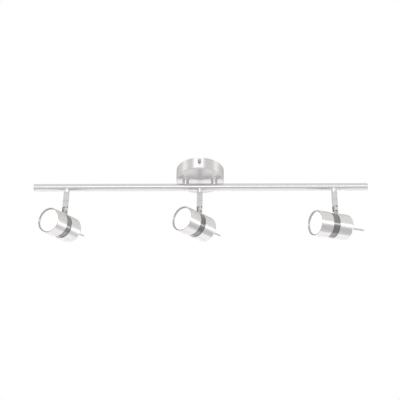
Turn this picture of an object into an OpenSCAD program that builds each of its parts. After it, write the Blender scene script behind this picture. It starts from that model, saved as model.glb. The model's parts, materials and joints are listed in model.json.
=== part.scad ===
// Ceiling bar spotlight: a round canopy, a straight round bar and three aimable heads.
// The origin is the centre of the ceiling face. +Z is up and the bar runs along X.
// Each head hangs from a stem that swivels about Z, and tilts on a pivot screw in the stem's fork.

/* [Canopy] */
// Diameter of the canopy
canopy_d = 120; // [110:1:150]
// Height of the canopy, from the ceiling to its flat lower face
canopy_h = 32; // [28:1:40]
// Sheet thickness of the canopy
canopy_wall = 1.2; // [0.8:0.1:2]
// Radius of the canopy's lower edge
canopy_edge_r = 3; // [2.5:0.5:6]
// Distance from the ceiling to the side screws
side_screw_drop = 11; // [8:0.5:14]
// Distance between the two holes of the ceiling box
box_spacing = 88.9; // [70:0.1:96]
// Width of the slots for the ceiling box's screws
box_slot_w = 5; // [4:0.1:6]
// Length of those slots, end to end
box_slot_len = 12; // [8:0.5:16]

/* [Bar] */
// Length of the bar, over its end plugs
bar_len = 840; // [760:1:1200]
// Outside diameter of the bar
bar_d = 19; // [18:0.5:22]
// Wall thickness of the bar
bar_wall = 1.2; // [1:0.1:1.4]
// Distance from the ceiling to the bar's axis
bar_drop = 50; // [48:1:60]
// Diameter of the two posts between canopy and bar
post_d = 16; // [14:0.5:18]
// Distance between the two posts
post_spacing = 72; // [60:1:80]
// Distance between neighbouring heads
head_spacing = 336; // [300:1:370]

/* [Stem] */
// Diameter of the stem's sleeve and fork
stem_d = 14.4; // [14.2:0.1:16]
// Diameter of the fixed neck between the bar and the sleeve
neck_d = 14; // [12:0.1:14.4]
// Distance from the bar's axis to the sleeve's upper end
sleeve_drop = 18; // [16:0.5:22]
// Length of the sleeve
sleeve_len = 27.5; // [24:0.5:32]
// Length of the fork
fork_len = 25.5; // [24:0.5:28]
// Distance from the fork's lower end up to the tilt pivot
pivot_rise = 11; // [10:0.5:12]
// Diameter of the pivot screw's shank
pivot_d = 4; // [3:0.1:4]
// Width of the fork's slot
slot_w = 4; // [3.8:0.1:4.4]
// Diameter of the recess in the fork's lower end
foot_recess_d = 11; // [9:0.5:12]

/* [Head] */
// Outside diameter of the head
head_d = 63; // [62:0.5:66]
// Wall thickness of the rear cup and the front shell
shell_wall = 1.5; // [1.2:0.1:2]
// Distance from the tilt pivot down to the head's axis
arm_drop = 53; // [52:0.5:60]
// Depth of the rear cup
cup_len = 41; // [40:0.5:44]
// Distance from the stem's axis back to the rear cup's end
cup_back = 25; // [24:0.5:26]
// Radius of the rear cup's rear edge
cup_edge_r = 6; // [4:0.5:8]
// Width of the bright waist between the two shells
waist_len = 18.5; // [12:0.5:20]
// Length of the front shell
shell_len = 35; // [34:0.5:40]
// Diameter of the lens opening
lens_open_d = 55; // [53:0.5:56]
// Length of the aiming rod behind the rear cup
rod_len = 51; // [30:0.5:51]
// Diameter of the aiming rod
rod_d = 4; // [3:0.5:5]

/* [Aim] */
// Turn of each head from the bar's left end towards the front, in degrees, left head first
head_turns = [61.5, 51, 29]; // [0:0.5:180]
// Dip of each head's front below level, in degrees, left head first
head_dips = [10.5, 6, 7.5]; // [-30:0.5:60]

/* [Hidden] */
$fn = 64;
heads = ["left", "centre", "right"];
root_nodes = [
    "mounting_strap", "ground_screw", "canopy", "side_screws", "terminal_block",
    "post_left", "post_right", "post_nipples", "post_nuts", "bar_tube", "end_plugs",
    "saddle_nuts", "bar_leads", "swivel_necks", "swivel_washers"
];
head_nodes = [
    "swivel_sleeve", "swivel_fork", "pivot_screw", "arm", "rear_cup", "waist_sleeve",
    "front_shell", "bezel_ring", "lens", "lamp", "lamp_holder", "holder_bracket",
    "bracket_screws", "aiming_rod", "head_leads"
];

satin_nickel = [0.78, 0.77, 0.76];
polished_chrome = [0.88, 0.88, 0.9];
zinc_plate = [0.7, 0.71, 0.72];
brass = [0.8, 0.66, 0.35];
white_plastic = [0.95, 0.95, 0.93];
ceramic_white = [0.93, 0.91, 0.87];
frosted_white = [0.98, 0.98, 0.97];
lead_white = [0.9, 0.9, 0.88];
earth_green = [0.15, 0.5, 0.25];

over = 1;                 // how far a cutter runs past what it cuts
thread_gap = 0.02;        // radial gap between a screw and its thread
run_gap = 0.05;           // radial gap of a running fit
free_gap = 0.3;           // gap between pieces that move past each other
bevel = 0.7;              // small chamfer on turned parts

canopy_r = canopy_d / 2;
bar_r = bar_d / 2;
bore_r = bar_r - bar_wall;
stem_r = stem_d / 2;
neck_r = neck_d / 2;
head_r = head_d / 2;
sleeve_in_r = head_r - shell_wall;

// canopy fittings
strap_w = 22;
strap_t = 1.5;
strap_len = 113;
tab_len = 17;
side_screw_r = 2;
side_ball_r = 4.7;
side_collar_r = 3.2;
ground_y = 18;
nipple_r = 5;
nipple_bore_r = 3;
nut_t = 5;
nut_af = 15;
nipple_top = -canopy_h + 10;
block = [16, 26, 12];
block_z = -canopy_h + canopy_wall;
pole_pitch = 8;
pole_z = block_z + 6;

// bar fittings
plug_t = 1.5;
plug_len = 10;
nut_face = 2;             // flat face of a saddle nut, measured from the bar's axis
saddle_len = 14;
lead_r = 0.95;
trunk_r = 1.1;
lead_y = 1.25;
elbow = 1.05;             // a lead's corner, as a share of its radius

// stem
shaft_r = 4;
cavity_r = 5.8;
sleeve_top_t = 4;
flange_r = 5.5;
flange_t = 2.5;
washer_t = 0.8;
neck_bore_r = 2.6;
hub_r = 5;                // the part of the neck that passes into the bar
spigot_len = 6.5;
foot_recess = 2.5;
pivot_z = -(bar_drop + sleeve_drop + sleeve_len + fork_len - pivot_rise);
pivot_head_r = 3.2;
tilt_up = 45;             // upward tilt at which the arm meets the fork's stop

// head
eye_r = 5;
arm_w = 8;
arm_foot_w = 6;
arm_t = slot_w - 2 * free_gap;
collar_r = 4.5;
collar_z = -17;
stud_r = 3;
stud_bore_r = 1.9;
arm_boss_r = 6;
arm_boss_len = 4;
waist_x = cup_len - cup_back;
shell_x = waist_x + waist_len;
front_x = shell_x + shell_len;
sleeve_grip = 9;
lens_t = 3;
lens_x = front_x - 7.2;
rod_boss_r = 5;
rod_boss_len = 5.5;
screw_y = 20;
screw_boss_r = 3.5;
m3_r = 1.5;
bracket_x = 1;
bracket_t = 1.5;
holder_x = bracket_x + bracket_t;
holder_len = 12.5;
holder_r = 13;
lamp_x = holder_x + holder_len;
lamp_front = lens_x - 1;
pin_y = 5;

// ---- placing ----

function station(i) = (i - 1) * head_spacing;

// At a stem: the origin is on the bar's axis, above the head.
module at_station(i) {
    translate([station(i), 0, -bar_drop]) children();
}

// At a tilt pivot: +X faces where the head is turned, and Y is the pivot's axis.
module at_pivot(i) {
    translate([station(i), 0, pivot_z]) rotate([0, 0, 180 + head_turns[i]]) children();
}

// In a head's own frame: as at_pivot, dipped by the head's tilt.
module in_head(i) {
    at_pivot(i) rotate([0, head_dips[i], 0]) children();
}

// Turns a shape that stands on Z so that it lies along the head's axis.
module on_head_axis(x = 0) {
    translate([x, 0, -arm_drop]) rotate([0, 90, 0]) children();
}

// ---- shared shapes ----

// A disc or cup blank on Z with a rounded lower edge.
module round_blank(r, h, edge) {
    rotate_extrude($fn = 96) {
        square([r - edge, h]);
        translate([0, edge]) square([r, h - edge]);
        translate([r - edge, edge]) circle(edge, $fn = 32);
    }
}

// A turned cylinder on Z with chamfered ends.
module turned(r, h, low = bevel, high = bevel) {
    rotate_extrude() polygon([
        [0, 0], [r - low, 0], [r, low], [r, h - high], [r - high, h], [0, h]
    ]);
}

module ring(r_out, r_in, h) {
    difference() {
        cylinder(h = h, r = r_out);
        translate([0, 0, -over]) cylinder(h = h + 2 * over, r = r_in);
    }
}

module along_y(r, h) {
    rotate([90, 0, 0]) cylinder(h = h, r = r, center = true);
}

module along_x(r, h) {
    rotate([0, 90, 0]) cylinder(h = h, r = r, center = true);
}

// A round lead that follows straight stretches with rounded corners.
module lead(points, r) {
    for (k = [1 : len(points) - 1]) {
        step = points[k] - points[k - 1];
        translate(points[k - 1])
            rotate([0, acos(step.z / norm(step)), atan2(step.y, step.x)])
                cylinder(h = norm(step), r = r, $fn = 24);
        if (k < len(points) - 1) translate(points[k]) sphere(elbow * r, $fn = 24);
    }
}

// ---- canopy and its fittings ----

module mounting_strap() {
    tab_y = strap_len / 2 - strap_t;
    color(zinc_plate) difference() {
        union() {
            translate([-strap_w / 2, -strap_len / 2, -strap_t]) cube([strap_w, strap_len, strap_t]);
            for (side = [0, 1]) mirror([0, side, 0])
                translate([-strap_w / 2, tab_y, -tab_len]) cube([strap_w, strap_t, tab_len]);
        }
        for (side = [-1, 1]) translate([0, side * box_spacing / 2, -strap_t - over]) {
            straight = box_slot_len - box_slot_w;
            for (end = [-1, 1]) translate([0, end * straight / 2, 0])
                cylinder(h = strap_t + 2 * over, d = box_slot_w);
            translate([-box_slot_w / 2, -straight / 2, 0])
                cube([box_slot_w, straight, strap_t + 2 * over]);
        }
        translate([0, ground_y, -strap_t - over])
            cylinder(h = strap_t + 2 * over, r = side_screw_r + thread_gap);
        translate([0, 0, -side_screw_drop]) along_y(side_screw_r + thread_gap, strap_len + over);
    }
}

module ground_screw() {
    head_t = 2.6;
    color(earth_green) translate([0, ground_y, -strap_t - head_t]) difference() {
        union() {
            turned(4, head_t, 0.8, 0.1);
            cylinder(h = head_t + strap_t - 0.1, r = side_screw_r);
        }
        translate([-0.5, -4 - over, -over]) cube([1, 8 + 2 * over, over + 1]);
    }
}

module canopy() {
    color(satin_nickel) difference() {
        translate([0, 0, -canopy_h]) difference() {
            round_blank(canopy_r, canopy_h, canopy_edge_r);
            translate([0, 0, canopy_wall])
                round_blank(canopy_r - canopy_wall, canopy_h, canopy_edge_r - canopy_wall);
        }
        for (side = [-1, 1]) translate([side * post_spacing / 2, 0, -canopy_h - over])
            cylinder(h = canopy_wall + 2 * over, r = nipple_r + 0.1);
        translate([0, 0, -side_screw_drop]) along_y(side_screw_r + 0.2, canopy_d + over);
    }
}

// Two ball-headed screws that hold the canopy to the strap's bent ends.
module side_screws() {
    shank_in = strap_len / 2 - strap_t - 2;
    surface = canopy_r - shank_in;
    collar_t = 1;
    ball_z = surface + collar_t + sqrt(pow(side_ball_r, 2) - pow(side_collar_r, 2));
    color(satin_nickel) for (side = [0, 1]) mirror([0, side, 0])
        translate([0, shank_in, -side_screw_drop]) rotate([-90, 0, 0]) {
            cylinder(h = surface + collar_t, r = side_screw_r);
            translate([0, 0, surface]) cylinder(h = collar_t + 0.5, r = side_collar_r);
            translate([0, 0, ball_z]) sphere(side_ball_r, $fn = 64);
        }
}

module terminal_block() {
    color(white_plastic) difference() {
        translate([-block.x / 2, -block.y / 2, block_z]) cube(block);
        for (pole = [-1 : 1]) {
            translate([0, pole * pole_pitch, pole_z]) along_x(1.6, block.x + over);
            for (side = [-1, 1]) translate([side * 4, pole * pole_pitch, pole_z])
                cylinder(h = block.z, r = 1.7);
        }
    }
}

// ---- posts ----

module post(side) {
    foot = 5;
    color(satin_nickel) difference() {
        translate([side * post_spacing / 2, 0, -bar_drop + foot]) difference() {
            cylinder(h = bar_drop - canopy_h - foot, d = post_d);
            translate([0, 0, -over]) cylinder(h = bar_drop, r = nipple_r + 0.1);
        }
        translate([0, 0, -bar_drop]) along_x(bar_r, bar_len);
    }
}

module post_left() { post(-1); }
module post_right() { post(1); }

module post_nipples() {
    bottom = -bar_drop + nut_face;
    color(zinc_plate) for (side = [-1, 1])
        translate([side * post_spacing / 2, 0, bottom])
            ring(nipple_r, nipple_bore_r, nipple_top - bottom);
}

module post_nuts() {
    color(zinc_plate) for (side = [-1, 1])
        translate([side * post_spacing / 2, 0, block_z]) difference() {
            cylinder(h = nut_t, d = nut_af / cos(30), $fn = 6);
            translate([0, 0, -over]) cylinder(h = nut_t + 2 * over, r = nipple_r + thread_gap);
        }
}

// ---- bar ----

module bar_tube() {
    color(satin_nickel) translate([0, 0, -bar_drop]) difference() {
        along_x(bar_r, bar_len - 2 * plug_t);
        along_x(bore_r, bar_len);
        for (side = [-1, 1]) translate([side * post_spacing / 2, 0, 0])
            cylinder(h = bar_d, r = nipple_r + 0.1);
        for (i = [0 : 2]) translate([station(i), 0, -bar_d])
            cylinder(h = bar_d, r = hub_r + 0.1);
    }
}

module end_plugs() {
    color(satin_nickel) for (side = [0, 1]) mirror([side, 0, 0])
        translate([bar_len / 2, 0, -bar_drop]) rotate([0, -90, 0]) {
            turned(bar_r, plug_t, 0.5, 0.1);
            cylinder(h = plug_t + plug_len, r = bore_r - thread_gap);
        }
}

// Half-round nuts that sit against the inside of the bar.
module saddle_nut() {
    difference() {
        along_x(bore_r - thread_gap, saddle_len);
        translate([-saddle_len, -bar_d, -nut_face]) cube([2 * saddle_len, 2 * bar_d, bar_d]);
        translate([0, 0, -bar_d]) cylinder(h = bar_d, r = nipple_r + thread_gap);
    }
}

module saddle_nuts() {
    color(zinc_plate) {
        for (i = [0 : 2]) at_station(i) saddle_nut();
        for (side = [-1, 1]) translate([side * post_spacing / 2, 0, -bar_drop])
            mirror([0, 0, 1]) saddle_nut();
    }
}

// Two insulated leads: terminal block, left post, along the bar, and down each neck.
module bar_leads() {
    post_x = -post_spacing / 2;
    loop_z = nipple_top + 4;
    drop = sleeve_drop + sleeve_len + 6;
    color(lead_white) for (side = [-1, 1]) {
        y = side * lead_y;
        lead([
            [-block.x / 2 + 5, side * pole_pitch, pole_z], [-14, side * pole_pitch, pole_z],
            [-22, side * 4, loop_z - 2], [-30, y, loop_z],
            [post_x + 2, y, loop_z], [post_x, y, loop_z - 2], [post_x, y, -bar_drop]
        ], lead_r);
        translate([0, y, -bar_drop]) along_x(trunk_r, 2 * (head_spacing + trunk_r));
        for (i = [0 : 2]) at_station(i) translate([0, y, -drop]) cylinder(h = drop, r = lead_r);
    }
}

// ---- swivel: neck and washer stay with the bar ----

module swivel_necks() {
    shoulder = sleeve_drop - free_gap;
    flange_top = sleeve_drop + sleeve_top_t + free_gap + washer_t;
    color(satin_nickel) for (i = [0 : 2]) at_station(i) difference() {
        union() {
            difference() {
                translate([0, 0, -shoulder]) cylinder(h = shoulder, r = neck_r);
                along_x(bar_r, bar_d);
            }
            translate([0, 0, -shoulder]) cylinder(h = shoulder - nut_face, r = hub_r);
            translate([0, 0, -flange_top]) cylinder(h = flange_top - nut_face, r = shaft_r);
            translate([0, 0, -flange_top - flange_t]) cylinder(h = flange_t, r = flange_r);
        }
        translate([0, 0, -flange_top - flange_t - over]) cylinder(h = bar_drop, r = neck_bore_r);
    }
}

module swivel_washers() {
    top = sleeve_drop + sleeve_top_t + free_gap;
    color(zinc_plate) for (i = [0 : 2]) at_station(i)
        translate([0, 0, -top - washer_t]) ring(flange_r, shaft_r + run_gap, washer_t);
}

module swivel_sleeve(i) {
    color(satin_nickel) at_station(i) translate([0, 0, -sleeve_drop - sleeve_len]) difference() {
        turned(stem_r, sleeve_len);
        translate([0, 0, -over]) cylinder(h = sleeve_len - sleeve_top_t + over, r = cavity_r);
        cylinder(h = sleeve_len + over, r = shaft_r + run_gap);
    }
}

// The fork's slot, seen along the pivot: open behind, and with a stop in front.
module slot_outline() {
    half = arm_w / 2 + free_gap;
    side = stem_r + over;
    foot = -pivot_rise - over;
    circle(eye_r + free_gap, $fn = 48);
    polygon([
        [-side, foot], [-side, half], [0, half],
        [half * cos(tilt_up), half * sin(tilt_up)],
        [side, (half - side * cos(tilt_up)) / sin(tilt_up)], [side, foot]
    ]);
}

module swivel_fork(i) {
    spigot_top = fork_len - pivot_rise + spigot_len;
    color(satin_nickel) at_pivot(i) difference() {
        union() {
            translate([0, 0, -pivot_rise]) turned(stem_r, fork_len);
            cylinder(h = spigot_top, r = cavity_r - thread_gap);
        }
        cylinder(h = spigot_top + over, r = neck_bore_r);
        rotate([90, 0, 0]) linear_extrude(slot_w, center = true) slot_outline();
        translate([0, 0, -pivot_rise - over]) cylinder(h = foot_recess + over, d = foot_recess_d);
        along_y(pivot_d / 2 + thread_gap, stem_d + over);
        translate([0, stem_r, 0]) along_y(pivot_head_r + 0.1, 3.6);
    }
}

module pivot_screw(i) {
    head_t = 1.5;
    color(polished_chrome) at_pivot(i) rotate([-90, 0, 0]) difference() {
        union() {
            translate([0, 0, -stem_r + 0.4]) cylinder(h = 2 * stem_r - 1, d = pivot_d);
            translate([0, 0, stem_r - 1.75]) turned(pivot_head_r, head_t, 0.1, 0.4);
        }
        translate([0, 0, stem_r - 1.25]) cylinder(h = 1 + over, d = 3, $fn = 6);
    }
}

// ---- head ----

// Tongue and eye in the fork, with a hollow stud that screws into the rear cup.
module arm(i) {
    stud_end = -arm_drop + sleeve_in_r - arm_boss_len;
    color(satin_nickel) in_head(i) difference() {
        union() {
            along_y(eye_r, arm_t);
            rotate([90, 0, 0]) linear_extrude(arm_t, center = true) polygon([
                [-arm_w / 2, 0], [arm_w / 2, 0],
                [arm_foot_w / 2, collar_z - 1], [-arm_foot_w / 2, collar_z - 1]
            ]);
            difference() {
                translate([0, 0, -arm_drop + head_r - 2])
                    turned(collar_r, collar_z + arm_drop - head_r + 2, 0.1, 0.8);
                on_head_axis() cylinder(h = head_d, r = head_r, center = true);
            }
            translate([0, 0, stud_end]) cylinder(h = collar_z - stud_end - 1, r = stud_r);
        }
        along_y(pivot_d / 2 + run_gap, arm_t + over);
        translate([0, 0, stud_end - over]) cylinder(h = collar_z - stud_end + over, r = stud_bore_r);
        translate([-1.5, -arm_t, collar_z - 0.5]) cube([3, 2 * arm_t, 5]);
    }
}

module rear_cup(i) {
    inner_back = -cup_back + shell_wall;
    color(satin_nickel) in_head(i) difference() {
        union() {
            difference() {
                on_head_axis(-cup_back) round_blank(head_r, cup_len, cup_edge_r);
                on_head_axis(inner_back)
                    round_blank(sleeve_in_r, cup_len, cup_edge_r - shell_wall);
            }
            translate([0, 0, -arm_drop + sleeve_in_r - arm_boss_len])
                cylinder(h = arm_boss_len + 1, r = arm_boss_r);
            for (side = [-1, 1]) translate([0, side * screw_y, 0]) on_head_axis(inner_back - 1)
                cylinder(h = bracket_x - inner_back + 1, r = screw_boss_r);
            on_head_axis(inner_back - 1) cylinder(h = rod_boss_len + 1, r = rod_boss_r);
        }
        translate([0, 0, -arm_drop]) cylinder(h = head_d, r = stud_r + thread_gap);
        for (side = [-1, 1]) translate([0, side * screw_y, 0]) on_head_axis(bracket_x - 10)
            cylinder(h = 10 + over, r = m3_r + thread_gap);
        on_head_axis(-cup_back - over)
            cylinder(h = shell_wall + rod_boss_len + 2 * over, r = rod_d / 2 + thread_gap);
    }
}

module waist_sleeve(i) {
    color(polished_chrome) in_head(i) on_head_axis(waist_x - sleeve_grip)
        ring(sleeve_in_r - thread_gap, sleeve_in_r - 1.6, 2 * sleeve_grip + waist_len + 2);
}

module front_shell(i) {
    seat_t = 2;
    color(satin_nickel) in_head(i) on_head_axis(shell_x) difference() {
        turned(head_r, shell_len, 1, 0.7);
        translate([0, 0, -over]) cylinder(h = shell_len + 2 * over, r = sleeve_in_r - 2);
        translate([0, 0, -over])
            cylinder(h = lens_x - shell_x - seat_t + over, r = sleeve_in_r);
        translate([0, 0, lens_x - shell_x]) cylinder(h = shell_len, r = sleeve_in_r);
    }
}

module bezel_ring(i) {
    back = lens_x + lens_t;
    depth = front_x - 0.3 - back;
    inner = lens_open_d / 2;
    outer = sleeve_in_r - thread_gap;
    color(satin_nickel) in_head(i) on_head_axis(back) rotate_extrude($fn = 96) polygon([
        [inner, 0], [outer, 0], [outer, depth - 0.4], [outer - 0.4, depth],
        [outer - 0.9, depth], [inner, depth - 1.2]
    ]);
}

module lens(i) {
    color(frosted_white) in_head(i) on_head_axis(lens_x)
        turned(sleeve_in_r - 0.2, lens_t, 0.3, 0.3);
}

// Reflector lamp with two twist-lock pins.
module lamp(i) {
    depth = lamp_front - lamp_x;
    color(ceramic_white) in_head(i) on_head_axis(lamp_x) {
        rotate_extrude($fn = 96) polygon([
            [0, 0], [12, 0], [12.5, 0.5], [12.5, 12], [14, 15], [19, 24], [22.5, 33],
            [25, depth - 4.5], [25, depth - 0.8], [24.2, depth], [0, depth]
        ]);
        for (side = [-1, 1]) translate([0, side * pin_y, -7]) {
            cylinder(h = 8, r = 1.5, $fn = 32);
            cylinder(h = 2, r = 2.5, $fn = 32);
        }
    }
}

module lamp_holder(i) {
    color(ceramic_white) in_head(i) on_head_axis(holder_x) difference() {
        turned(holder_r, holder_len);
        for (side = [-1, 1]) {
            translate([0, side * pin_y, holder_len - 8]) cylinder(h = 8 + over, r = 2.9);
            translate([0, side * 3, -over]) cylinder(h = 3 + over, r = 1.2, $fn = 32);
        }
    }
}

module holder_bracket(i) {
    width = 14;
    span = 2 * screw_y + 9;
    color(zinc_plate) in_head(i) on_head_axis(bracket_x) difference() {
        translate([-width / 2, -span / 2, 0]) cube([width, span, bracket_t]);
        translate([0, 0, -over]) cylinder(h = bracket_t + 2 * over, r = 6);
        for (side = [-1, 1]) translate([0, side * screw_y, -over])
            cylinder(h = bracket_t + 2 * over, r = m3_r + 0.1);
    }
}

module bracket_screws(i) {
    color(zinc_plate) in_head(i) for (side = [-1, 1]) translate([0, side * screw_y, 0])
        on_head_axis(holder_x - 8) difference() {
            union() {
                cylinder(h = 9, r = m3_r);
                translate([0, 0, 8]) turned(2.8, 2, 0.1, 0.5);
            }
            translate([-0.4, -4, 9.2]) cube([0.8, 8, 2]);
        }
}

module aiming_rod(i) {
    color(satin_nickel) in_head(i) on_head_axis(-cup_back - rod_len) {
        translate([0, 0, rod_d / 2]) sphere(rod_d / 2);
        translate([0, 0, rod_d / 2])
            cylinder(h = rod_len - rod_d / 2 + shell_wall + rod_boss_len - 0.5, r = rod_d / 2);
    }
}

// The pair of leads from the arm's window to the back of the lamp holder.
module head_leads(i) {
    r = 0.8;
    color(lead_white) in_head(i) for (side = [-1, 1]) lead([
        [0, side * 0.9, collar_z + 2.5], [0, side * 0.9, -33],
        [-3, side * 3, -42], [-3, side * 3, -arm_drop + 2], [-1, side * 3, -arm_drop],
        [holder_x + 2, side * 3, -arm_drop]
    ], r);
}

// ---- nodes ----

mounting_strap();
ground_screw();
canopy();
side_screws();
terminal_block();
post_left();
post_right();
post_nipples();
post_nuts();
bar_tube();
end_plugs();
saddle_nuts();
bar_leads();
swivel_necks();
swivel_washers();
for (i = [0 : 2]) {
    name = str(heads[i], "_");
    swivel_sleeve(i);
    swivel_fork(i);
    pivot_screw(i);
    arm(i);
    rear_cup(i);
    waist_sleeve(i);
    front_shell(i);
    bezel_ring(i);
    lens(i);
    lamp(i);
    lamp_holder(i);
    holder_bracket(i);
    bracket_screws(i);
    aiming_rod(i);
    head_leads(i);
}
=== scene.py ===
"""Looks of a ceiling bar spotlight with three aimable heads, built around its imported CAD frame."""

import json
import math

import bmesh
import bpy
from mathutils import Matrix, Vector


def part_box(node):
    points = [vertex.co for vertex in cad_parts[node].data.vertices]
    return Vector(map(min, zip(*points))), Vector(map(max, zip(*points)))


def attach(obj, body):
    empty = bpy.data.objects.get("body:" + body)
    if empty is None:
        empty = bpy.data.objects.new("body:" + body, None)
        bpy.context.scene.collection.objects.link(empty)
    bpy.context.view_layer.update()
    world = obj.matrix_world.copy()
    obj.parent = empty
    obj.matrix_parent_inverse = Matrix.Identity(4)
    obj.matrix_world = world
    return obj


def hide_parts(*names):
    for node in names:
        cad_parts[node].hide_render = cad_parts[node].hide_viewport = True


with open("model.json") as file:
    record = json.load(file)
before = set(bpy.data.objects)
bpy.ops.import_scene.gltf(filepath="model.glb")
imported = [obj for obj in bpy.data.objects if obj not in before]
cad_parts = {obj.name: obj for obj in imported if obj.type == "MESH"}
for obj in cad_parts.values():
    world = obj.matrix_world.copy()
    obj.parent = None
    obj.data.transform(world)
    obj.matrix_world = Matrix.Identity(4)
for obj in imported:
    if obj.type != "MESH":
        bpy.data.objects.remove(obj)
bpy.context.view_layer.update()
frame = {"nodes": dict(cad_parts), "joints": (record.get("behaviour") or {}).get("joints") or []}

MM = 0.001
UP = Vector((0, 0, 1))
HEADS = ("left", "centre", "right")
JOINTS = {joint["name"]: joint for joint in frame["joints"]}

# ---- places and sizes that the frame holds ----


def points_of(node):
    """The vertices of a CAD node at rest."""
    return [v.co for v in frame["nodes"][node].data.vertices]


def centre_of(node):
    low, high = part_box(node)
    return (low + high) / 2


class Axis:
    """A line that a turned part goes round: a point on it and its direction."""

    def __init__(self, origin, direction, side=None):
        self.origin = Vector(origin)
        self.direction = Vector(direction).normalized()
        side = Vector(side) if side else self.direction.orthogonal()
        self.side = (side - side.project(self.direction)).normalized()

    def matrix(self):
        """Local Z lies on the line and local X points to the side."""
        across = self.direction.cross(self.side)
        columns = Matrix((self.side, across, self.direction)).transposed().to_4x4()
        return Matrix.Translation(self.origin) @ columns

    def span(self, node):
        """Where a node begins and ends along the line."""
        along = [(p - self.origin).dot(self.direction) for p in points_of(node)]
        return min(along), max(along)

    def radii(self, node):
        """The least and the greatest distance of a node's vertices from the line."""
        away = [(p - self.origin).cross(self.direction).length for p in points_of(node)]
        return min(away), max(away)

    def radius(self, node):
        return self.radii(node)[1]


bar_centre = centre_of("bar_tube")
bar_axis = Axis(bar_centre, (1, 0, 0), side=UP)
bar_low, bar_high = bar_axis.span("bar_tube")
bar_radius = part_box("bar_tube")[1].z - bar_centre.z


# ---- camera ----

VIEW_AZIMUTH = math.radians(2.3)
VIEW_ELEVATION = math.radians(-32.2)
VIEW_ROLL = math.radians(1.05)
VIEW_DISTANCE = 2.589
VIEW_LENS_MM = 92.5
VIEW_SHIFT = (0.0003, -0.0317)


def add_camera():
    back = Vector((
        math.sin(VIEW_AZIMUTH) * math.cos(VIEW_ELEVATION),
        -math.cos(VIEW_AZIMUTH) * math.cos(VIEW_ELEVATION),
        math.sin(VIEW_ELEVATION),
    ))
    right = UP.cross(back).normalized()
    up = back.cross(right)
    turned_right = math.cos(VIEW_ROLL) * right + math.sin(VIEW_ROLL) * up
    turned_up = math.cos(VIEW_ROLL) * up - math.sin(VIEW_ROLL) * right
    camera = bpy.data.objects.new("camera", bpy.data.cameras.new("camera"))
    bpy.context.scene.collection.objects.link(camera)
    rotation = Matrix((turned_right, turned_up, back)).transposed().to_4x4()
    camera.matrix_world = Matrix.Translation(bar_centre + VIEW_DISTANCE * back) @ rotation
    camera.data.lens = VIEW_LENS_MM
    camera.data.sensor_width = 36
    camera.data.shift_x, camera.data.shift_y = VIEW_SHIFT
    camera.data.clip_end = 200
    bpy.context.scene.camera = camera


add_camera()


# ---- node helpers ----


def add_node(tree, kind, settings=None, **inputs):
    """Adds a shader node. An input is named with _ for a space, and takes a value or a socket."""
    made = tree.nodes.new(kind)
    for key, value in (settings or {}).items():
        setattr(made, key, value)
    for key, value in inputs.items():
        name = key.replace("_", " ")
        socket = made.inputs[int(key[1:])] if key[1:].isdigit() else made.inputs[name]
        if isinstance(value, bpy.types.NodeSocket):
            tree.links.new(value, socket)
        else:
            socket.default_value = value
    return made


def calculate(tree, operation, first, second=0.0):
    made = add_node(tree, "ShaderNodeMath", {"operation": operation}, i0=first, i1=second)
    return made.outputs[0]


def remap(tree, value, low, high, to_low, to_high, smooth=False):
    kind = "SMOOTHSTEP" if smooth else "LINEAR"
    made = add_node(
        tree, "ShaderNodeMapRange", {"interpolation_type": kind, "clamp": True},
        Value=value, From_Min=low, From_Max=high, To_Min=to_low, To_Max=to_high,
    )
    return made.outputs["Result"]


def grey_ramp(tree, value, stops):
    """A grey level that follows value through (position, level) stops."""
    made = add_node(tree, "ShaderNodeValToRGB", Fac=value)
    elements = made.color_ramp.elements
    while len(elements) < len(stops):
        elements.new(1.0)
    for element, (position, level) in zip(elements, stops):
        element.position = position
        element.color = (level, level, level, 1)
    return made.outputs["Color"]


def tint(tree, factor, dark, light):
    """A colour between two, by factor."""
    made = add_node(tree, "ShaderNodeMix", {"data_type": "RGBA"}, Factor=factor)
    made.inputs[6].default_value = (*dark, 1)
    made.inputs[7].default_value = (*light, 1)
    return made.outputs[2]


# ---- studio ----

# brightness of the tent by elevation in degrees, in front and behind
FRONT_LEVELS = [
    (-90, 1.05), (-68, 0.92), (-45, 0.6), (-24, 0.62), (-14, 0.88), (-4, 0.9), (6, 0.92),
    (18, 0.8), (35, 0.84), (65, 0.82), (90, 0.9),
]
BACK_LEVELS = [
    (-90, 1.05), (-60, 1.1), (-32, 1.2), (-20, 0.95), (-12, 0.72), (5, 0.7), (28, 0.6),
    (60, 0.72), (90, 0.9),
]
TOP_LEVEL = 1.25
COOL_BELOW, WARM_ABOVE = (0.972, 0.968, 1.0), (1.0, 0.992, 0.986)
BACK_FROM, BACK_BLEND = 132, 8
FLOOR_DROP = 2.7
FLOOR_REACH = 60


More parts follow.
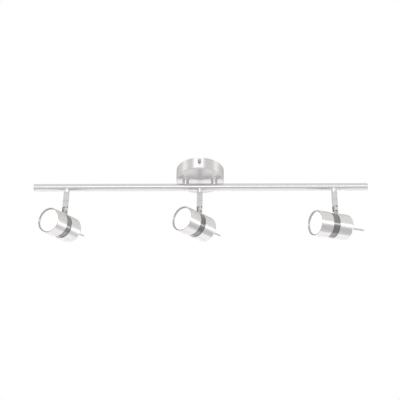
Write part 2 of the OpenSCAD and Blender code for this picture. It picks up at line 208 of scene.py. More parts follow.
def add_world():
    """A soft tent that is darker below the horizon. The camera sees it plain white."""
    world = bpy.data.worlds.new("studio")
    world.use_nodes = True
    tree = world.node_tree
    tree.nodes.clear()
    ray = add_node(tree, "ShaderNodeTexCoord").outputs["Generated"]
    parts = add_node(tree, "ShaderNodeSeparateXYZ", Vector=ray)
    to_degrees = 180 / math.pi
    height = calculate(tree, "ARCSINE", parts.outputs["Z"])
    elevation = calculate(tree, "MULTIPLY", height, to_degrees)
    forward = calculate(tree, "MULTIPLY", parts.outputs["Y"], -1)
    turn = calculate(tree, "ARCTAN2", parts.outputs["X"], forward)
    azimuth = calculate(tree, "ABSOLUTE", calculate(tree, "MULTIPLY", turn, to_degrees))

    share = remap(tree, elevation, -90, 90, 0, 1)
    front, back = (
        grey_ramp(tree, share, [((e + 90) / 180, v / TOP_LEVEL) for e, v in levels])
        for levels in (FRONT_LEVELS, BACK_LEVELS)
    )
    blend_from, blend_to = BACK_FROM - BACK_BLEND, BACK_FROM + BACK_BLEND
    behind = remap(tree, azimuth, blend_from, blend_to, 0, 1, smooth=True)
    tent = add_node(
        tree, "ShaderNodeMix", {"data_type": "RGBA"}, Factor=behind, i6=front, i7=back
    )
    level = calculate(tree, "MULTIPLY", tent.outputs[2], TOP_LEVEL)

    cast = tint(tree, remap(tree, elevation, -50, 20, 0, 1), COOL_BELOW, WARM_ABOVE)
    light = add_node(tree, "ShaderNodeBackground", Color=cast, Strength=level)
    plain = add_node(tree, "ShaderNodeBackground", Color=(1, 1, 1, 1), Strength=1.0)
    seen = add_node(tree, "ShaderNodeLightPath").outputs["Is Camera Ray"]
    mixed = add_node(
        tree, "ShaderNodeMixShader", i0=seen, i1=light.outputs[0], i2=plain.outputs[0]
    )
    add_node(tree, "ShaderNodeOutputWorld", Surface=mixed.outputs[0])
    bpy.context.scene.world = world


def new_material(name):
    """An empty material: (material, its node tree)."""
    made = bpy.data.materials.new(name)
    made.use_nodes = True
    made.node_tree.nodes.clear()
    return made, made.node_tree


def add_floor():
    mesh = bpy.data.meshes.new("floor")
    corners = [(-1, -1), (1, -1), (1, 1), (-1, 1)]
    mesh.from_pydata(
        [(x * FLOOR_REACH, y * FLOOR_REACH, -FLOOR_DROP) for x, y in corners], [], [(0, 1, 2, 3)]
    )
    floor = bpy.data.objects.new("floor", mesh)
    bpy.context.scene.collection.objects.link(floor)
    floor.visible_glossy = False
    material, tree = new_material("floor_paper")
    grain = add_node(tree, "ShaderNodeTexNoise", Scale=3.0, Detail=4.0).outputs["Fac"]
    tone = remap(tree, grain, 0.3, 0.7, 0.93, 0.96)
    paper = add_node(tree, "ShaderNodeBsdfPrincipled", Base_Color=tone, Roughness=0.9)
    add_node(tree, "ShaderNodeOutputMaterial", Surface=paper.outputs[0])
    mesh.materials.append(material)


def add_softbox(name, target, azimuth, elevation, distance, size, radiance, receivers):
    """A rectangular light that faces a target and lights only the pieces named."""
    light = bpy.data.lights.new(name, "AREA")
    light.shape = "RECTANGLE"
    light.size, light.size_y = size
    light.energy = radiance * math.pi * size[0] * size[1]
    lamp = bpy.data.objects.new(name, light)
    bpy.context.scene.collection.objects.link(lamp)
    a, e = math.radians(azimuth), math.radians(elevation)
    away = Vector((math.sin(a) * math.cos(e), -math.cos(a) * math.cos(e), math.sin(e)))
    lamp.location = target + distance * away
    lamp.rotation_euler = away.to_track_quat("Z", "Y").to_euler()
    lamp.visible_camera = False
    lit = bpy.data.collections.new(name + "_receivers")
    for receiver in receivers:
        lit.objects.link(bpy.data.objects[receiver])
    lamp.light_linking.receiver_collection = lit


bpy.context.scene.view_settings.view_transform = "Standard"
add_world()
add_floor()


# ---- materials ----


def finish_material(tree, shader, height, bump, depth):
    """Adds the bump and the output."""
    rough = add_node(tree, "ShaderNodeBump", Strength=bump, Distance=depth, Height=height)
    tree.links.new(rough.outputs["Normal"], shader.inputs["Normal"])
    add_node(tree, "ShaderNodeOutputMaterial", Surface=shader.outputs[0])


def groove_vector(tree, grooves_per_m, wander_per_m, drawn):
    """Where a point lies across the brush lines, which run round local Z, or along it if drawn."""
    place = add_node(tree, "ShaderNodeTexCoord").outputs["Object"]
    parts = add_node(tree, "ShaderNodeSeparateXYZ", Vector=place)
    x, y, z = parts.outputs
    if drawn:
        scales = (grooves_per_m, grooves_per_m, wander_per_m)
        scaled = [calculate(tree, "MULTIPLY", s, k) for s, k in zip((x, y, z), scales)]
    else:
        flat = add_node(tree, "ShaderNodeCombineXYZ", X=x, Y=y, Z=0.0).outputs[0]
        reach = add_node(tree, "ShaderNodeVectorMath", {"operation": "LENGTH"}, i0=flat)
        across = calculate(tree, "ADD", reach.outputs["Value"], z)
        scaled = [calculate(tree, "MULTIPLY", across, grooves_per_m)]
        scaled += [calculate(tree, "MULTIPLY", s, wander_per_m) for s in (x, y)]
    return add_node(tree, "ShaderNodeCombineXYZ", X=scaled[0], Y=scaled[1], Z=scaled[2]).outputs[0]


def brushed_metal(name, base, roughness, anisotropy, drawn=False, grain=0.04, wear=0.03):
    """Plated metal with fine brush lines, faint cloudiness and slightly uneven gloss."""
    material, tree = new_material(name)
    lines = add_node(
        tree, "ShaderNodeTexNoise", Vector=groove_vector(tree, 2600, 14, drawn),
        Scale=1.0, Detail=3.0, Roughness=0.65,
    ).outputs["Fac"]
    place = add_node(tree, "ShaderNodeTexCoord").outputs["Object"]
    cloud = add_node(
        tree, "ShaderNodeTexNoise", Vector=place, Scale=24.0, Detail=3.0
    ).outputs["Fac"]
    line_share = remap(tree, lines, 0.25, 0.75, 0, 1)
    cloud_share = remap(tree, cloud, 0.3, 0.7, 0, 1)
    dark = [c * (1 - grain) for c in base]
    light = [min(1.0, c * (1 + grain)) for c in base]
    colour = tint(tree, line_share, dark, light)
    gloss = calculate(
        tree, "ADD",
        remap(tree, line_share, 0, 1, roughness - wear / 2, roughness + wear / 2),
        remap(tree, cloud_share, 0, 1, -wear / 2, wear / 2),
    )
    shader = add_node(
        tree, "ShaderNodeBsdfPrincipled", Base_Color=colour, Roughness=gloss, Metallic=1.0,
        Anisotropic=anisotropy, Anisotropic_Rotation=0.25,
    )
    around = add_node(tree, "ShaderNodeTangent", {"direction_type": "RADIAL", "axis": "Z"})
    tree.links.new(around.outputs[0], shader.inputs["Tangent"])
    finish_material(tree, shader, lines, 0.12, 4e-6)
    return material


def plain_metal(name, base, roughness):
    """Plated steel as it comes from the barrel: mottled, a little scratched."""
    material, tree = new_material(name)
    place = add_node(tree, "ShaderNodeTexCoord").outputs["Object"]
    mottle = add_node(
        tree, "ShaderNodeTexNoise", Vector=place, Scale=180.0, Detail=5.0, Roughness=0.6
    ).outputs["Fac"]
    spread = remap(tree, mottle, 0.3, 0.7, 0, 1)
    colour = tint(tree, spread, [c * 0.86 for c in base], [min(1, c * 1.05) for c in base])
    gloss = remap(tree, spread, 0, 1, roughness - 0.06, roughness + 0.08)
    shader = add_node(
        tree, "ShaderNodeBsdfPrincipled", Base_Color=colour, Roughness=gloss, Metallic=1.0
    )
    finish_material(tree, shader, mottle, 0.15, 2e-5)
    return material


def moulded(name, base, roughness, spread=0.04, scale=400.0, subsurface=0.0):
    """A moulded or painted surface with a fine, even texture."""
    material, tree = new_material(name)
    place = add_node(tree, "ShaderNodeTexCoord").outputs["Object"]
    grain = add_node(
        tree, "ShaderNodeTexNoise", Vector=place, Scale=scale, Detail=4.0
    ).outputs["Fac"]
    share = remap(tree, grain, 0.3, 0.7, 0, 1)
    dark = [c * (1 - spread) for c in base]
    light = [min(1.0, c * (1 + spread)) for c in base]
    colour = tint(tree, share, dark, light)
    gloss = remap(tree, share, 0, 1, roughness - 0.05, roughness + 0.05)
    shader = add_node(
        tree, "ShaderNodeBsdfPrincipled", Base_Color=colour, Roughness=gloss, IOR=1.49,
        Subsurface_Weight=subsurface, Subsurface_Scale=0.002,
    )
    finish_material(tree, shader, grain, 0.2, 2e-5)
    return material


def frosted_glass(name, reach):
    """The lens: etched white glass that glows a little, more at its middle than at its rim."""
    material, tree = new_material(name)
    place = add_node(tree, "ShaderNodeTexCoord").outputs["Object"]
    parts = add_node(tree, "ShaderNodeSeparateXYZ", Vector=place)
    flat = add_node(
        tree, "ShaderNodeCombineXYZ", X=parts.outputs[0], Y=parts.outputs[1], Z=0.0
    ).outputs[0]
    far = add_node(tree, "ShaderNodeVectorMath", {"operation": "LENGTH"}, i0=flat)
    share = remap(tree, far.outputs["Value"], 0.3 * reach, reach, 0, 1, smooth=True)
    etch = add_node(
        tree, "ShaderNodeTexNoise", Vector=place, Scale=1400.0, Detail=2.0
    ).outputs["Fac"]
    shimmer = add_node(
        tree, "ShaderNodeTexNoise", Vector=place, Scale=45.0, Detail=1.0
    ).outputs["Fac"]
    cast = tint(tree, remap(tree, shimmer, 0.35, 0.65, 0, 1), (1, 0.975, 0.955), (0.965, 1, 1))
    gloss = remap(tree, etch, 0.3, 0.7, 0.32, 0.46)
    glow = remap(tree, share, 0, 1, 0.42, 0.38)
    shader = add_node(
        tree, "ShaderNodeBsdfPrincipled", Base_Color=cast, Roughness=gloss, IOR=1.5,
        Emission_Color=cast, Emission_Strength=glow,
    )
    finish_material(tree, shader, etch, 0.25, 1e-5)
    return material


NICKEL = (0.735, 0.728, 0.722)
satin_turned = brushed_metal("satin_nickel_turned", NICKEL, 0.3, 0.7)
# painted light: the canopy's lower face is lighter than its side, brightening the bar's shade and
# dark reflection
satin_face_painted_light = brushed_metal("satin_nickel_face_painted_light", (0.86, 0.852, 0.846), 0.43, 0.65)
satin_bar = brushed_metal("satin_nickel_bar", (0.79, 0.782, 0.775), 0.23, 0.5, drawn=True)
satin_shell = brushed_metal("satin_nickel_shell", (0.84, 0.833, 0.826), 0.27, 0.75, grain=0.03)
# painted warm light: the front shells' nickel is tinted warm, as if lit by warm light near the lens
satin_front_painted_warm_light = brushed_metal("satin_nickel_front_painted_warm_light", (0.84, 0.815, 0.803), 0.27, 0.75, grain=0.03)
satin_stem = brushed_metal("satin_nickel_stem", (0.84, 0.833, 0.827), 0.44, 0.1)
satin_post = brushed_metal("satin_nickel_post", (0.82, 0.81, 0.805), 0.36, 0.9)
satin_neck = brushed_metal("satin_nickel_neck", (0.9, 0.895, 0.89), 0.26, 0.7)
# painted shade: the arm's nickel is about half as light as the rest, for the dark under the stem's
# foot
satin_arm_painted_shade = brushed_metal("satin_nickel_arm_painted_shade", (0.42, 0.418, 0.415), 0.4, 0.1)
satin_rod = brushed_metal("satin_nickel_rod", (0.6, 0.597, 0.592), 0.34, 0.2)
polished_ball = brushed_metal("polished_nickel_ball", (0.6, 0.597, 0.592), 0.14, 0.2, grain=0.03)
polished_ring = brushed_metal("polished_nickel_ring", (0.5, 0.495, 0.49), 0.3, 0.3, grain=0.03)
waist_chrome = brushed_metal("chrome_waist", (0.3, 0.3, 0.303), 0.08, 0.2, grain=0.02, wear=0.02)
screw_chrome = brushed_metal("chrome_screw", (0.5, 0.5, 0.505), 0.12, 0.2, grain=0.03, wear=0.02)
# painted shade: a near-black lining for the stem's foot recess, where only shade falls
recess_painted_shade = moulded("recess_painted_shade", (0.022, 0.022, 0.023), 0.55, spread=0.2)
zinc = plain_metal("zinc_plate", (0.62, 0.64, 0.66), 0.34)
earth_green = plain_metal("earth_green_zinc", (0.1, 0.36, 0.16), 0.38)
terminal_plastic = moulded("terminal_plastic", (0.86, 0.86, 0.83), 0.42, subsurface=0.1)
insulation = moulded("lead_insulation", (0.84, 0.84, 0.82), 0.48, scale=250.0)
lamp_body = moulded("lamp_white", (0.85, 0.84, 0.81), 0.3, scale=120.0)
ceramic = moulded("holder_ceramic", (0.8, 0.78, 0.73), 0.55, spread=0.07, scale=700.0)


# ---- turned shapes ----

SEGMENTS = 96
SUPPORT = 0.25 * MM
POLE = 1e-7


def rounded(corners, closed, steps=5):
    """An outline (radius, height) whose corners (radius, height, fillet) are rounded.

    A point is added beside each end of an arc, so that smooth shading stays on the arc."""
    outline = []
    count = len(corners)
    for k, (r, z, fillet) in enumerate(corners):
        here = Vector((r, z))
        if fillet <= 0 or (not closed and k in (0, count - 1)):
            outline.append(here)
            continue
        before = Vector(corners[k - 1][:2]) - here
        after = Vector(corners[(k + 1) % count][:2]) - here
        half = before.angle(after) / 2
        reach = fillet / math.tan(half)
        support = reach + SUPPORT
        first, last = before.normalized(), after.normalized()
        middle = here + (first + last).normalized() * (fillet / math.sin(half))
        start, end = here + first * reach, here + last * reach
        from_middle, to_middle = start - middle, end - middle
        sweep = from_middle.angle_signed(to_middle)
        outline.append(here + first * support)
        for step in range(steps + 1):
            turn = Matrix.Rotation(-sweep * step / steps, 2)
            outline.append(middle + turn @ from_middle)
        outline.append(here + last * support)
    return outline


def revolve(bm, outline, closed, segments=SEGMENTS):
    """Turns an outline (radius, height) round Z. A closed outline gives a ring."""
    rings = []
    for r, z in outline:
        if r < POLE:
            rings.append([bm.verts.new((0, 0, z))])
            continue
        ring = []
        for k in range(segments):
            angle = 2 * math.pi * k / segments
            ring.append(bm.verts.new((r * math.cos(angle), r * math.sin(angle), z)))
        rings.append(ring)
    pairs = list(zip(rings, rings[1:]))
    if closed:
        pairs.append((rings[-1], rings[0]))
    for low, high in pairs:
        for k in range(segments):
            n = (k + 1) % segments
            if len(low) == 1 and len(high) == 1:
                break
            if len(low) == 1:
                bm.faces.new((low[0], high[n], high[k]))
            elif len(high) == 1:
                bm.faces.new((low[k], low[n], high[0]))
            else:
                bm.faces.new((low[k], low[n], high[n], high[k]))


def add_merged(bm, outline, closed, place, segments):
    """Adds one turned shape, put in place, to a mesh that holds several."""
    part = bmesh.new()
    revolve(part, outline, closed, segments=segments)
    part.transform(place)
    bmesh.ops.recalc_face_normals(part, faces=part.faces)
    mesh = bpy.data.meshes.new("part")
    part.to_mesh(mesh)
    part.free()
    bm.from_mesh(mesh)
    bpy.data.meshes.remove(mesh)


def add_plate(bm, outline, half):
    """A flat plate with an outline (x, z), reaching half its thickness to each side of y = 0."""
    near, far = ([bm.verts.new((x, y, z)) for x, z in outline] for y in (-half, half))
    bm.faces.new(near)
    bm.faces.new(list(reversed(far)))
    for k in range(len(outline)):
        n = (k + 1) % len(outline)
        bm.faces.new((near[k], far[k], far[n], near[n]))
    bmesh.ops.recalc_face_normals(bm, faces=bm.faces)


def add_piece(name, bm, place, body, material, nodes):
    """Makes a mesh piece, puts it in place, hangs it on its body and hides the frame's nodes that it
    stands for.
    """
    bmesh.ops.recalc_face_normals(bm, faces=bm.faces)
    mesh = bpy.data.meshes.new(name)
    bm.to_mesh(mesh)
    bm.free()
    mesh.polygons.foreach_set("use_smooth", [True] * len(mesh.polygons))
    mesh.materials.append(material)
    piece = bpy.data.objects.new(name, mesh)
    bpy.context.scene.collection.objects.link(piece)
    piece.matrix_world = place
    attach(piece, body)
    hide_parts(*nodes)
    return piece


def add_turned(name, corners, closed, axis, body, material, slot, nodes, **shape):
    bm = bmesh.new()
    revolve(bm, rounded(corners, closed), closed, **shape)
    return add_piece(name, bm, axis.matrix(), body, material, nodes)


def cut_out(piece, bm, place):
    """Cuts a shape out of a piece."""
    bmesh.ops.recalc_face_normals(bm, faces=bm.faces)
    mesh = bpy.data.meshes.new("cutter")
    bm.to_mesh(mesh)
    bm.free()
    cutter = bpy.data.objects.new("cutter", mesh)
    bpy.context.scene.collection.objects.link(cutter)
    cutter.matrix_world = place
    bpy.context.view_layer.update()
    cut = piece.modifiers.new("cut", "BOOLEAN")
    cut.operation, cut.solver, cut.object = "DIFFERENCE", "EXACT", cutter
    depsgraph = bpy.context.evaluated_depsgraph_get()
    mesh = bpy.data.meshes.new_from_object(piece.evaluated_get(depsgraph))
    piece.modifiers.remove(cut)
    piece.data = mesh
    bpy.data.objects.remove(cutter)


def add_bevel(piece, width, angle=35):
    """Rounds a piece's sharp edges and keeps its flat faces flat."""
    bevel = piece.modifiers.new("edges", "BEVEL")
    bevel.width, bevel.segments = width, 2
    bevel.limit_method, bevel.angle_limit = "ANGLE", math.radians(angle)
    piece.modifiers.new("normals", "WEIGHTED_NORMAL")


# ---- canopy ----

CANOPY_WALL = 1.2 * MM
CANOPY_EDGE = 3 * MM
HEM = 0.4 * MM


def add_canopy():
    """A spun cup whose flat lower face has a coarser finish than its side, and a lighter colour that
    is painted light over the shade and dark reflection of the bar below.
    """
    low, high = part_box("canopy")
    radius, height = (high.x - low.x) / 2, high.z - low.z
    inside = radius - CANOPY_WALL
    axis = Axis(((low.x + high.x) / 2, (low.y + high.y) / 2, low.z), UP, side=(1, 0, 0))
    corners = [
        (0, CANOPY_WALL, 0), (inside, CANOPY_WALL, CANOPY_EDGE - CANOPY_WALL),
        (inside, height, HEM), (radius, height, HEM), (radius, 0, CANOPY_EDGE), (0, 0, 0),
    ]
    canopy = add_turned(
        "canopy_shell", corners, False, axis, "root", satin_turned, "satin_nickel", ["canopy"],
        segments=160,
    )
    canopy.data.materials.append(satin_face_painted_light)
    for face in canopy.data.polygons:
        face.material_index = int(face.normal.z < -0.7)


def add_side_screws():
    """Two screws with ball heads, each on a small collar against the canopy."""
    low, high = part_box("side_screws")
    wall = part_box("canopy")[1].y
    ball, height = (high.z - low.z) / 2, (low.z + high.z) / 2
    middle = high.y - ball
    shank, collar, collar_end = 2 * MM, 3.2 * MM, wall + 1 * MM
    inner_end, seat = wall - 5 * MM, wall - 0.3 * MM
    root, steps = 0.96 * collar, 24
    outline = rounded([
        (0, inner_end, 0), (shank, inner_end, 0.3 * MM), (shank, seat, 0),
        (collar, seat, 0), (collar, collar_end, 0.25 * MM), (root, collar_end, 0),
    ], False)
    start = math.asin(root / ball)
    for step in range(steps + 1):
        polar = start + (math.pi - start) * step / steps
        outline.append(Vector((ball * math.sin(polar), middle - ball * math.cos(polar))))
    outline[-1].x = 0
    bm = bmesh.new()
    for direction in (-1, 1):
        stand = Axis((0, 0, height), (0, direction, 0), side=UP).matrix()
        add_merged(bm, outline, False, stand, 64)
    add_piece(
        "side_ball_screws", bm, Matrix.Identity(4), "root", polished_ball,
        ["side_screws"],
    )


# ---- posts and bar ----

BAR_WALL = 1.2 * MM
STEM_GAP = 0.3 * MM


def add_posts():
    for side in ("left", "right"):
        node = "post_" + side
        low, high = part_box(node)
        radius, tall = (high.x - low.x) / 2, high.z - low.z
        bore = 0.7 * radius
        axis = Axis(((low.x + high.x) / 2, 0, low.z), UP, side=(1, 0, 0))
        corners = [
            (bore, 0, 0.2 * MM), (radius, 0, 0.2 * MM), (radius, tall, 0.5 * MM),
            (bore, tall, 0.2 * MM),
        ]
        add_turned(
            node + "_collar", corners, True, axis, "root", satin_post, "satin_nickel", [node]
        )


def add_bar():
    inside = bar_radius - BAR_WALL
    corners = [
        (inside, bar_low, 0.2 * MM), (bar_radius, bar_low, 0.25 * MM),
        (bar_radius, bar_high, 0.25 * MM), (inside, bar_high, 0.2 * MM),
    ]
    add_turned(
        "bar_rail", corners, True, bar_axis, "root", satin_bar, "satin_nickel_bar", ["bar_tube"]
    )


def add_end_plugs():
    """A domed cap and a stub inside the bar at each end."""
    low, high = bar_axis.span("end_plugs")
    stub, stub_len = bar_radius - BAR_WALL - 0.02 * MM, 8 * MM
    bm = bmesh.new()
    for end, mouth, out in ((high, bar_high, 1), (low, bar_low, -1)):
        inner_end = mouth - out * stub_len
        outline = rounded([
            (0, inner_end, 0), (stub, inner_end, 0.4 * MM), (stub, mouth, 0),
            (bar_radius, mouth, 0.1 * MM), (bar_radius, end - out * 0.1 * MM, 0.7 * MM),
            (0.6 * bar_radius, end, 3 * MM), (0, end, 0),
        ], False)
        revolve(bm, outline, False)
    add_piece(
        "bar_end_caps", bm, bar_axis.matrix(), "root", satin_stem, ["end_plugs"]
    )


def add_necks():
    """The fixed necks that the stems swivel on: a collar on the bar, a shaft and a flange."""
    low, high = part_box("swivel_necks")
    collar = (high.y - low.y) / 2
    hub, shaft, flange, bore = 5 * MM, 4 * MM, 5.5 * MM, 2.6 * MM
    flange_top = low.z + 2.5 * MM
    inside_bar = bar_centre.z - 0.42 * bar_radius
    bm = bmesh.new()
    for head in HEADS:
        station = Vector(JOINTS[head + "_swivel"]["pos_m"])
        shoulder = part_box(head + "_swivel_sleeve")[1].z + STEM_GAP
        outline = rounded([
            (bore, low.z, 0.2 * MM), (flange, low.z, 0.3 * MM), (flange, flange_top, 0.3 * MM),
            (shaft, flange_top, 0.1 * MM), (shaft, shoulder, 0.1 * MM),
            (collar, shoulder, 0.6 * MM), (collar, inside_bar, 0.2 * MM),
            (hub, inside_bar, 0.1 * MM), (hub, high.z, 0.2 * MM), (bore, high.z, 0.2 * MM),
        ], True)
        add_merged(bm, outline, True, Matrix.Translation((station.x, station.y, 0)), 64)
    add_piece(
        "stem_necks", bm, Matrix.Identity(4), "root", satin_neck,
        ["swivel_necks"],
    )


add_canopy()
add_side_screws()
add_posts()
add_bar()
add_end_plugs()
add_necks()


# ---- stems ----

GROOVE = 0.35 * MM
SLOT_GAP = 0.3 * MM
TILT_STOP = math.radians(45)
FOOT_RECESS = 2.5 * MM
FOOT_RADIUS = 5.5 * MM
SCREW_SHANK = 2 * MM


def add_stem(head):
    body = head + "_stem"
    pivot = Vector(JOINTS[head + "_tilt"]["pos_m"])
    across = Vector(JOINTS[head + "_tilt"]["axis"])
    add_sleeve(head, body, pivot, across)
    add_fork(head, body, pivot, across)
    add_pivot_screw(head, body)


def add_sleeve(head, body, pivot, across):
    """The stem's upper sleeve, with two turned lines near its lower end."""
    node = head + "_swivel_sleeve"
    low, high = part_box(node)
    radius, tall = (high.x - low.x) / 2, high.z - low.z
    hole, cavity, top = 4.05 * MM, 5.8 * MM, 4 * MM
    corners = [(cavity, 0, 0.3 * MM), (radius, 0, 0.6 * MM)]
    for line in (3.2 * MM, 5.2 * MM):
        corners += [
            (radius, line - GROOVE, 0.1 * MM), (radius - GROOVE, line, 0.1 * MM),
            (radius, line + GROOVE, 0.1 * MM),
        ]
    corners += [(radius, tall, 0.7 * MM), (hole, tall, 0.3 * MM), (hole, tall - top, 0.1 * MM)]
    corners += [(cavity, tall - top, 0.3 * MM)]
    axis = Axis((pivot.x, pivot.y, low.z), UP, side=across)
    add_turned(
        head + "_stem_sleeve", corners, True, axis, body, satin_stem, "satin_nickel", [node]
    )


def add_fork(head, body, pivot, across):
    """The slotted lower stem, with its foot recess lined in near-black painted shade. The arm swings
    in the slot.
    """
    node = head + "_swivel_fork"
    sleeve_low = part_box(head + "_swivel_sleeve")[0].z
    low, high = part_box(node)
    radius, shoulder, tall = (high.x - low.x) / 2, sleeve_low - low.z, high.z - low.z
    spigot, reach = 0.78 * radius, 2 * radius
    corners = [
        (0, FOOT_RECESS, 0), (FOOT_RADIUS, FOOT_RECESS, 0.1 * MM), (FOOT_RADIUS, 0, 0.3 * MM),
        (radius, 0, 0.6 * MM), (radius, shoulder, 0.6 * MM), (spigot, shoulder, 0.2 * MM),
        (spigot, tall, 0.3 * MM), (0, tall, 0),
    ]
    axis = Axis((pivot.x, pivot.y, low.z), UP, side=across.cross(UP))
    piece = add_turned(
        head + "_stem_fork", corners, False, axis, body, satin_stem, "satin_nickel", [node]
    )
    # the faces in the foot recess take the near-black painted shade
    piece.data.materials.append(recess_painted_shade)
    for face in piece.data.polygons:
        away = math.hypot(face.center.x, face.center.y)
        in_recess = away < FOOT_RADIUS + 0.05 * MM and face.center.z < 1.5 * FOOT_RECESS
        face.material_index = int(in_recess)
    bm = bmesh.new()
    near, far = Axis(pivot, across).span(head + "_arm")
    add_plate(bm, slot_outline(head, pivot.z - low.z, reach), (far - near) / 2 + SLOT_GAP)
    cut_out(piece, bm, axis.matrix())
    # the pivot screw's hole, with a counterbore for its head
    screw, end, screw_head = screw_axis(head)
    hole, seat, wide = SCREW_SHANK + 0.15 * MM, end - 1.55 * MM, screw_head + 0.1 * MM
    bm = bmesh.new()
    drilled = [
        (0, -reach), (hole, -reach), (hole, seat), (wide, seat), (wide, reach), (0, reach),
    ]
    revolve(bm, drilled, False, segments=48)
    cut_out(piece, bm, screw.matrix())
    add_bevel(piece, 0.2 * MM, 40)


def slot_outline(head, rise, reach):
    """The slot seen from the side, as (x ahead, z above the fork's foot).

    It is open below and behind, and its slope ahead is the stop for the lifted head."""
    eye = arm_eye_radius(head) + SLOT_GAP
    half_arm = 4.3 * MM
    across, along = half_arm * math.cos(TILT_STOP), half_arm * math.sin(TILT_STOP)
    slope_end = rise + (half_arm - reach * math.cos(TILT_STOP)) / math.sin(TILT_STOP)
    arc = [
        (eye * math.cos(a), rise + eye * math.sin(a))
        for a in (math.radians(48 + 12 * k) for k in range(7))
    ]
    return [
        (reach, -reach), (reach, slope_end), (across, rise + along), *arc,
        (-reach, rise + half_arm), (-reach, -reach),
    ]


def arm_eye_radius(head):
    pivot = Vector(JOINTS[head + "_tilt"]["pos_m"])
    return max(p.z for p in points_of(head + "_arm")) - pivot.z


def screw_axis(head):
    """The pivot screw's axis, towards its head, with the head's end and radius."""
    node = head + "_pivot_screw"
    joint = JOINTS[head + "_tilt"]
    axis = Axis(joint["pos_m"], joint["axis"], side=UP)
    low, high = axis.span(node)
    if -low > high:
        axis = Axis(axis.origin, -axis.direction, side=UP)
        high = -low
    return axis, high, axis.radius(node)


def add_pivot_screw(head, body):
    """A screw through the fork, with a hexagon socket in its head."""
    node = head + "_pivot_screw"
    axis, high, screw_head = screw_axis(head)
    low = axis.span(node)[0]
    socket, deep = 1.6 * MM, 1 * MM
    corners = [
        (0, low, 0), (SCREW_SHANK, low, 0.4 * MM), (SCREW_SHANK, high - 1.5 * MM, 0.1 * MM),
        (screw_head, high - 1.5 * MM, 0.2 * MM), (screw_head, high, 0.5 * MM), (0, high, 0),
    ]
    screw = add_turned(
        head + "_stem_screw", corners, False, axis, body, screw_chrome, "chrome_plate", [node],
        segments=48,
    )
    bm = bmesh.new()
    hexagon = [(0, high - deep), (socket, high - deep), (socket, high + deep), (0, high + deep)]
    revolve(bm, hexagon, False, segments=6)
    cut_out(screw, bm, axis.matrix())
    add_bevel(screw, 0.08 * MM, 40)


# ---- heads ----

SHELL_WALL = 1.5 * MM
CUP_EDGE = 6 * MM


def head_axis(head):
    """The head's own axis, from the tilt pivot's foot on it, towards the lens."""
    pivot = Vector(JOINTS[head + "_tilt"]["pos_m"])
    lens, waist = centre_of(head + "_lens"), centre_of(head + "_waist_sleeve")
    ahead = (lens - waist).normalized()
    foot = waist + ahead * (pivot - waist).dot(ahead)
    return Axis(foot, ahead, side=pivot - foot)


def add_arm(head, body, axis):
    """The flat tongue in the fork, with its round eye, and the collar it stands on."""
    node = head + "_arm"
    pivot = Vector(JOINTS[head + "_tilt"]["pos_m"])
    across = Vector(JOINTS[head + "_tilt"]["axis"])
    low, high = Axis(pivot, across).span(node)
    half = (high - low) / 2
    eye = arm_eye_radius(head)
    shell = axis.radius(head + "_front_shell")
    drop = (pivot - axis.origin).length
    collar_top, collar_foot = drop - 17 * MM, shell - 2.5 * MM
    waist, foot, stud = 4 * MM, 3 * MM, 4.5 * MM
    # along the head's own side direction, measured from its axis; X is ahead
    outline = [(foot, collar_top - MM), (waist, drop)]
    outline += [
        (eye * math.cos(a), drop + eye * math.sin(a))
        for a in (math.radians(15 * k) for k in range(13))
    ]
    outline += [(-waist, drop), (-foot, collar_top - MM)]
    bm = bmesh.new()
    add_plate(bm, outline, half)
    edges = [e for e in bm.edges if len(e.link_faces) == 2 and e.calc_face_angle() > 1.0]
    bmesh.ops.bevel(
        bm, geom=edges, offset=0.35 * MM, segments=2, affect="EDGES", profile=0.5,
        clamp_overlap=True,
    )
    collar = rounded([
        (0, collar_foot, 0), (stud, collar_foot, 0.2 * MM), (stud, collar_top, 1 * MM),
        (0, collar_top, 0),
    ], False)
    add_merged(bm, collar, False, Matrix.Identity(4), 48)
    # the arm's own frame: Z from the head's axis up to the pivot, Y along the tilt axis
    stand = Matrix((axis.direction, axis.side.cross(axis.direction), axis.side))
    place = Matrix.Translation(axis.origin) @ stand.transposed().to_4x4()
    add_piece(head + "_tilt_arm", bm, place, body, satin_arm_painted_shade, [node])


def add_rear_cup(head, body, axis):
    """The rear shell, with a boss inside that holds the aiming rod."""
    node = head + "_rear_cup"
    back, mouth = axis.span(node)
    radius = axis.radius(head + "_front_shell")
    inside = radius - SHELL_WALL
    hole, boss = 2.02 * MM, 5 * MM
    floor = back + SHELL_WALL
    boss_end = floor + 5.5 * MM
    corners = [
        (hole, boss_end, 0.2 * MM), (boss, boss_end, 0.3 * MM), (boss, floor, 0.3 * MM),
        (inside, floor, CUP_EDGE - SHELL_WALL), (inside, mouth, 0.3 * MM),
        (radius, mouth, 0.45 * MM), (radius, back, CUP_EDGE), (hole, back, 0.3 * MM),
    ]
    add_turned(
        head + "_head_rear", corners, True, axis, body, satin_shell, "satin_nickel_shell", [node]
    )


def add_waist(head, body, axis):
    node = head + "_waist_sleeve"
    low, high = axis.span(node)
    radius = axis.radius(node)
    inside = radius - 1.6 * MM
    corners = [
        (inside, low, 0.2 * MM), (radius, low, 0.2 * MM), (radius, high, 0.2 * MM),
        (inside, high, 0.2 * MM),
    ]
    add_turned(
        head + "_head_waist", corners, True, axis, body, waist_chrome, "chrome_plate", [node]
    )


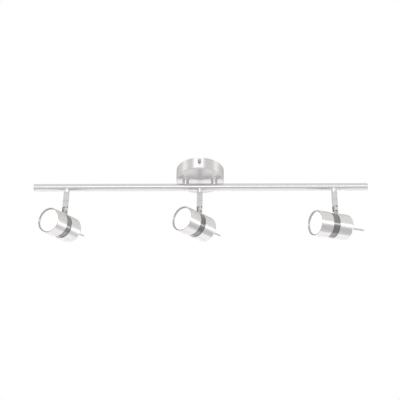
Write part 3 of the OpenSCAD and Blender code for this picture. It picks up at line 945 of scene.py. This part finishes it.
def add_front_shell(head, body, axis):
    """The front shell, with a ledge inside that the lens sits on."""
    node = head + "_front_shell"
    low, high = axis.span(node)
    radius = axis.radius(node)
    inside = radius - SHELL_WALL
    lens_back = axis.span(head + "_lens")[0]
    ledge, ledge_back = inside - 2 * MM, lens_back - 2 * MM
    corners = [
        (inside, low, 0.2 * MM), (radius, low, 0.9 * MM), (radius, high, 0.7 * MM),
        (inside, high, 0.3 * MM), (inside, lens_back, 0.2 * MM), (ledge, lens_back, 0.2 * MM),
        (ledge, ledge_back, 0.2 * MM), (inside, ledge_back, 0.2 * MM),
    ]
    add_turned(
        head + "_head_front", corners, True, axis, body, satin_front_painted_warm_light, "satin_nickel_shell", [node]
    )


def add_bezel(head, body, axis):
    """The ring that holds the lens: a flat rim and a slope down to the glass."""
    node = head + "_bezel_ring"
    low, high = axis.span(node)
    inner, outer = axis.radii(node)
    corners = [
        (inner, low, 0.15 * MM), (outer, low, 0.15 * MM), (outer, high, 0.35 * MM),
        (outer - 0.9 * MM, high, 0.2 * MM), (inner, high - 1.2 * MM, 0.25 * MM),
    ]
    add_turned(
        head + "_head_bezel", corners, True, axis, body, polished_ring, "polished_nickel", [node]
    )


def add_lens(head, body, axis):
    """A slightly crowned disc."""
    node = head + "_lens"
    low, high = axis.span(node)
    radius = axis.radius(node)
    crown = 0.6 * MM
    rise = [(0, high)] + [
        (radius * t, high - crown * t * t) for t in (0.15, 0.3, 0.45, 0.6, 0.75, 0.88)
    ]
    corners = [(0, low, 0), (radius, low, 0.3 * MM), (radius, high - crown, 0.4 * MM)]
    corners += [(r, z, 0) for r, z in reversed(rise)]
    lens = frosted_glass(head + "_frosted_glass", radius)
    add_turned(head + "_head_lens", corners, False, axis, body, lens, "frosted_glass", [node])


def add_rod(head, body, axis):
    """The aiming rod, with a domed end and a small collar where it leaves the cup."""
    node = head + "_aiming_rod"
    low, high = axis.span(node)
    radius = axis.radius(node)
    cup_back = axis.span(head + "_rear_cup")[0]
    collar, collar_end = radius + 0.9 * MM, cup_back - 1.2 * MM
    corners = [
        (0, low, 0), (radius, low, 0.95 * radius), (radius, collar_end, 0.1 * MM),
        (collar, collar_end, 0.4 * MM), (collar, cup_back, 0.05 * MM),
        (radius, cup_back, 0.05 * MM), (radius, high, 0.3 * MM), (0, high, 0),
    ]
    add_turned(
        head + "_head_rod", corners, False, axis, body, satin_rod, "satin_nickel", [node],
        segments=48,
    )


def add_head(head):
    body = head + "_head"
    axis = head_axis(head)
    for build in (
        add_arm, add_rear_cup, add_waist, add_front_shell, add_bezel, add_lens, add_rod
    ):
        build(head, body, axis)


for head in HEADS:
    add_stem(head)
    add_head(head)


# ---- inner parts that stay as the frame has them ----


def dress(node, material, bevel=0.0):
    piece = frame["nodes"][node]
    piece.data.materials.clear()
    piece.data.materials.append(material)
    if bevel:
        weld = piece.modifiers.new("weld", "WELD")
        weld.merge_threshold = 0.002 * MM
        add_bevel(piece, bevel)


dress("mounting_strap", zinc, 0.3 * MM)
dress("ground_screw", earth_green, 0.15 * MM)
dress("terminal_block", terminal_plastic, 0.4 * MM)
dress("post_nipples", zinc)
dress("post_nuts", zinc, 0.3 * MM)
dress("saddle_nuts", zinc, 0.2 * MM)
dress("bar_leads", insulation)
dress("swivel_washers", zinc)
for head in HEADS:
    dress(head + "_lamp", lamp_body)
    dress(head + "_lamp_holder", ceramic)
    dress(head + "_holder_bracket", zinc, 0.2 * MM)
    dress(head + "_bracket_screws", zinc)
    dress(head + "_head_leads", insulation)


# ---- lights ----

# (name, azimuth, elevation, width and height, radiance, what it lights)
POSTS = ("post_left_collar", "post_right_collar")
SOFTBOX_REACH = 1.5
SOFTBOXES = [
    ("canopy_softbox", -6, 33, (1.15, 0.8), 0.85, ("canopy_shell", "side_ball_screws")),
    ("canopy_strip_left", -77, 33, (0.6, 0.9), 0.42, ("canopy_shell",)),
    ("canopy_strip_right", 83, 33, (0.6, 0.9), 0.42, ("canopy_shell",)),
    ("post_strip", 0, -6, (0.4, 0.5), 16.0, POSTS),
    ("neck_strip", 0, 5, (0.5, 0.9), 6.0, ("stem_necks",)),
]
# a band of panels round the horizon, which draws the bright lines along the bar and the heads
PANELS, PANEL_REACH, PANEL_ELEVATION, PANEL_HEIGHT = 8, 6.0, -4.5, 1.15
FRONT_RADIANCE, BACK_RADIANCE, FRONT_UP_TO = 1.4, 1.0, 100
PANEL_WIDTH = 2 * PANEL_REACH * math.tan(math.pi / PANELS)
WITHOUT_BAND = (
    "canopy_shell", "stem_necks", "side_ball_screws", "floor", *POSTS,
    *(head + part for head in HEADS for part in ("_stem_sleeve", "_stem_fork")),
)
with_band = [
    o.name for o in bpy.data.objects if o.type == "MESH" and o.name not in WITHOUT_BAND
]
for k in range(PANELS):
    azimuth = 360 / PANELS * k
    in_front = min(azimuth, 360 - azimuth) < FRONT_UP_TO
    add_softbox(
        "horizon_panel_%d" % k, bar_centre, azimuth, PANEL_ELEVATION, PANEL_REACH,
        (PANEL_WIDTH, PANEL_HEIGHT), FRONT_RADIANCE if in_front else BACK_RADIANCE, with_band,
    )
for name, azimuth, elevation, size, radiance, receivers in SOFTBOXES:
    add_softbox(name, bar_centre, azimuth, elevation, SOFTBOX_REACH, size, radiance, receivers)
